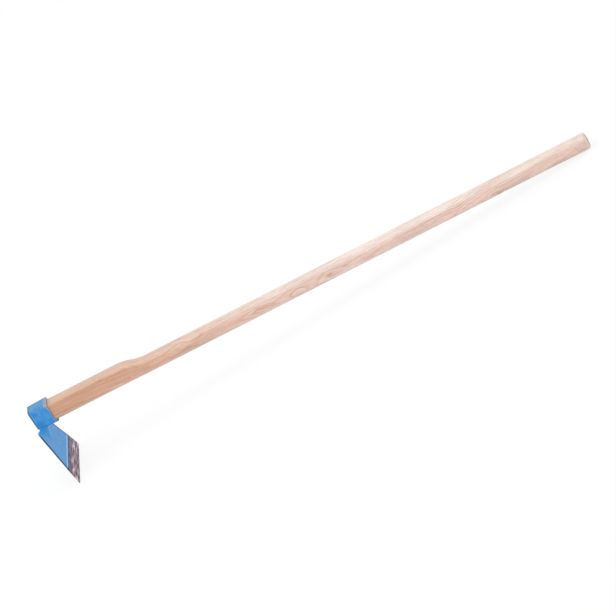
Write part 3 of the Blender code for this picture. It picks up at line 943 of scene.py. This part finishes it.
def makePlate(name, first, last, grid, grow=0.0):    # a stretch of the blade: a grid given thickness
    bpy.ops.object.select_all(action="DESELECT")
    bpy.ops.mesh.primitive_grid_add(x_subdivisions=grid[0], y_subdivisions=grid[1], size=2.0)
    plate = newest(name)
    halfEars = 0.5 * blade["earWidth"]

    def lay(point, face):
        column = halfEars * math.sin(quarterTurn * point.x)
        level = mix(first, last, 0.5 * (point.y + 1.0))
        upperShare = max(1.0 - level / blade["paintEnd"], 0.0)
        down = level + shoulderLine(column) * upperShare
        if first > 0.0:    # the strip starts where the paint ends
            down += blade["paintSkew"] * blade["skewSpread"] * column * (last - level) / (last - first)
        across = column * mix(1.0, blade["edgeWidth"] / blade["earWidth"], down / blade["length"])
        off = face * (0.5 * bladeThickness(down) + grow)
        across += math.copysign(grow, across) * abs(column) / halfEars
        down -= grow * upperShare
        return Vector((across, down, off + (ribHeight(down, across) if face > 0 else 0.0)))

    editAll(plate)
    bpy.ops.mesh.extrude_region_move()
    cage = bmesh.from_edit_mesh(plate.data)
    for vert in cage.verts:
        vert.co = lay(vert.co, 1 if vert.select else -1)
    bmesh.update_edit_mesh(plate.data)
    bpy.ops.mesh.select_all(action="SELECT")
    bpy.ops.mesh.normals_make_consistent(inside=False)
    bpy.ops.object.mode_set(mode="OBJECT")
    return plate


def makeEyeSolid():
    walls = (eye["clearance"] + eye[part] for part in ("wall", "topWall", "soleWall"))
    shape = stoneShape(*walls, eye["corner"], eye["cornerSteps"])
    solid = makeStoneBar("head_forging", 0.0, eye["depth"], shape)
    for share in eye["rings"]:
        ringCutAt(solid, eye["depth"] * share)
    tapered = drawnIn(shape)

    def lip(point):
        rise = ease((shape["sole"] + eye["lipRise"] - point.z) / eye["lipRise"])
        crown = ease((point.z - shape["top"] + eye["topFrom"]) / eye["topRise"])
        reach = (eye["lipReach"] * rise + eye["topReach"] * crown) * (point.x / eye["depth"]) ** 2
        return tapered(point) + Vector((reach, 0.0, 0.0))

    moveVerts(solid, lip)
    return solid


def ontoPlate(point):    # takes the remesh's steps out of the blade's faces and sides
    across, down, off = bladeAxes.inverted() @ point
    rounding = forging["rounding"]
    side = 0.5 * mix(blade["earWidth"], blade["edgeWidth"], down / blade["length"]) - rounding
    face = 0.5 * bladeThickness(down) + (ribHeight(down, across) if off > 0.0 else 0.0) - rounding
    outX, outZ = abs(across) - side, abs(off) - face
    if outX > 0.0 and outZ > 0.0:
        reach = math.hypot(outX, outZ)
        error = reach - rounding
        outX, outZ = outX * rounding / reach, outZ * rounding / reach
    elif outX > outZ:
        error, outX = outX - rounding, rounding
    else:
        error, outZ = outZ - rounding, rounding
    share = 1.0 - ease((abs(error) - forging["planing"]) / forging["planingFade"])
    share *= ease((down - forging["planingFrom"]) / forging["planingRise"])
    aim = bladeAxes @ Vector((math.copysign(side + outX, across), down, math.copysign(face + outZ, off)))
    return point.lerp(aim, share)


def makeHead():
    head = makeEyeSolid()
    plateEnd = blade["stripStart"] + blade["plateOverlap"]
    plate = makePlate("plate", 0.0, plateEnd, blade["plateGrid"], forging["allowance"])
    plate.data.transform(bladeAxes)
    cut(head, plate, "UNION")
    useModifier(head, "REMESH", mode="VOXEL", voxel_size=forging["voxel"], adaptivity=0.0)
    fillet = head.vertex_groups.new(name="fillet")
    for vert in head.data.vertices:
        squeezed = (vert.co.x, forging["filletStretch"] * vert.co.y, vert.co.z)
        past = math.dist(squeezed, forging["filletMiddle"]) - forging["filletReach"]
        fillet.add([vert.index], 1.0 - ease(past / forging["filletFade"]), "REPLACE")
    useModifier(head, "SMOOTH", factor=0.5, iterations=forging["filleting"], vertex_group="fillet")
    useModifier(head, "SMOOTH", factor=0.5, iterations=forging["softening"])
    head.vertex_groups.clear()
    moveVerts(head, ontoPlate)
    dents = bpy.data.textures.new("forgingDents", "CLOUDS")
    dents.noise_scale = forging["dentSize"]
    useModifier(head, "DISPLACE", texture=dents, strength=forging["dents"], mid_level=1.0,
                texture_coords="LOCAL")
    gap = forging["boreGap"]
    shape = stoneShape(gap, gap, gap, handle["corner"], forging["boreCornerSteps"])
    bore = makeStoneBar("bore", forging["boreStart"], eye["depth"] + forging["borePast"], shape)
    ringCutAt(bore, handle["recess"])
    ringCutAt(bore, eye["depth"])
    moveVerts(bore, drawnIn(shape, raked=False))
    cut(head, bore)
    # the strip below the paint is a piece of its own
    pick(head, "FACE", lambda face: True)
    bpy.ops.mesh.bisect(plane_co=bladeAxes @ Vector((0.0, blade["paintEnd"], 0.0)),
                        plane_no=bladeAxes.to_3x3() @ Vector((-blade["paintSkew"], 1.0, 0.0)),
                        clear_outer=True, use_fill=True)
    bpy.ops.object.mode_set(mode="OBJECT")
    return head


def makeStrip():
    strip = makePlate("cutting_strip", blade["paintEnd"], blade["length"], blade["stripGrid"])
    sharp = math.radians(50)
    pick(strip, "EDGE", lambda edge: edge.calc_face_angle(0.0) > sharp and span(edge, 1) > tiny)
    bpy.ops.mesh.bevel(offset=blade["stripRounding"], segments=2, affect="EDGES")
    bpy.ops.object.mode_set(mode="OBJECT")
    strip.data.transform(bladeAxes)
    return strip


finishPiece(makeHead(), bluePaint, "hoe_head", 45.0)
finishPiece(makeStrip(), groundSteel)


# floor, light and camera

stageLook = {
    "floorHalf": 40.0,
    "floorDrop": 0.0002,
    "floorColor": (0.90, 0.90, 0.90),
    "whiteShare": 0.84,          # how much of the floor's white is plain, so that the shadow stays faint
    "skyColor": (1.0, 1.0, 1.0),
    "skyStrength": 1.0,
    "keySize": 1.5,
    "keyPlace": (-0.55, 0.05, 2.6),
    "keyPower": 14.0,
}


def seenDirectly(tree):    # 1 for what the camera or a reflection sees, 0 for light that is scattered
    path = addNode(tree, "ShaderNodeLightPath").outputs
    glossOrGlass = calc(tree, "MAXIMUM", path["Is Glossy Ray"], path["Is Transmission Ray"])
    return calc(tree, "MAXIMUM", path["Is Camera Ray"], glossOrGlass)


def makeFloor():
    bpy.ops.object.select_all(action="DESELECT")
    bpy.ops.mesh.primitive_plane_add(size=2.0 * stageLook["floorHalf"],
                                     location=(0.0, 0.0, cadBox[0].z - stageLook["floorDrop"]))
    floor = bpy.context.active_object
    floor.name = "floor"
    material = bpy.data.materials.new("paleFloor")
    material.use_nodes = True
    tree = material.node_tree
    tree.nodes.clear()
    matte = addNode(tree, "ShaderNodeBsdfDiffuse", {"Color": (*stageLook["floorColor"], 1.0)}).outputs[0]
    white = addNode(tree, "ShaderNodeEmission", {"Strength": 1.0}).outputs[0]
    share = times(tree, seenDirectly(tree), stageLook["whiteShare"])
    lit = addNode(tree, "ShaderNodeMixShader", {0: share, 1: matte, 2: white}).outputs[0]
    behind = addNode(tree, "ShaderNodeNewGeometry").outputs["Backfacing"]
    clear = addNode(tree, "ShaderNodeBsdfTransparent").outputs[0]
    both = addNode(tree, "ShaderNodeMixShader", {0: behind, 1: lit, 2: clear}).outputs[0]
    addNode(tree, "ShaderNodeOutputMaterial", {"Surface": both})
    floor.data.materials.append(material)


def makeSky():
    world = bpy.data.worlds.new("studio")
    bpy.context.scene.world = world
    world.use_nodes = True
    setInputs(world.node_tree, world.node_tree.nodes["Background"],
              {"Color": (*stageLook["skyColor"], 1.0), "Strength": stageLook["skyStrength"]})


def addKeyLight():    # a round soft panel, aimed at the hoe
    lamp = bpy.data.lights.new("key", "AREA")
    lamp.shape = "DISK"
    lamp.size = stageLook["keySize"]
    lamp.energy = stageLook["keyPower"]
    holder = bpy.data.objects.new("key", lamp)
    holder.location = stageLook["keyPlace"]
    holder.rotation_euler = holder.location.to_track_quat("Z", "Y").to_euler()
    bpy.context.collection.objects.link(holder)


view = {
    "lens": 1500.0,
    "sensor": 36.0,
    "clipEnd": 200.0,
    "pixels": 616.0,
    "pixelsPerMetre": 487.4,
    "turn": math.radians(12.97),       # the grip end comes toward the camera
    "height": math.radians(26.95),     # above the blade's plane of symmetry
    "rise": math.radians(26.943),      # of the handle across the picture
    "start": (54.27, 410.52),          # the point from which the next two are measured
    "eyeEnd": -22.27,                  # pixels along the handle to the eye's outer end
    "axisOffset": 0.24,
}


def makeCamera():
    toCamera = Vector((math.sin(view["turn"]), -math.cos(view["turn"]) * math.cos(view["height"]),
                       math.cos(view["turn"]) * math.sin(view["height"])))
    alongPicture = (Vector((1.0, 0.0, 0.0)) - toCamera * toCamera.x).normalized()
    upPicture = toCamera.cross(alongPicture)
    right = math.cos(view["rise"]) * alongPicture - math.sin(view["rise"]) * upPicture
    up = math.sin(view["rise"]) * alongPicture + math.cos(view["rise"]) * upPicture
    # from the eye's outer end to the middle of the picture
    dx = 0.5 * view["pixels"] - view["start"][0]
    dy = 0.5 * view["pixels"] - view["start"][1]
    along = math.cos(view["rise"]) * dx - math.sin(view["rise"]) * dy
    below = math.sin(view["rise"]) * dx + math.cos(view["rise"]) * dy
    middle = alongPicture * (along - view["eyeEnd"]) - upPicture * (below - view["axisOffset"])
    middle = middle / view["pixelsPerMetre"]
    distance = view["pixels"] / view["pixelsPerMetre"] * view["lens"] / view["sensor"]
    camera = bpy.data.cameras.new("camera")
    camera.lens = view["lens"]
    camera.sensor_width = view["sensor"]
    camera.clip_end = view["clipEnd"]
    holder = bpy.data.objects.new("camera", camera)
    pose = Matrix((right, up, toCamera)).transposed().to_4x4()
    pose.translation = middle + toCamera * distance
    holder.matrix_world = hoeAxes @ pose
    bpy.context.collection.objects.link(holder)
    bpy.context.scene.camera = holder


makeFloor()
makeSky()
addKeyLight()
makeCamera()
bpy.context.scene.view_settings.view_transform = "Standard"
print("stage ready")
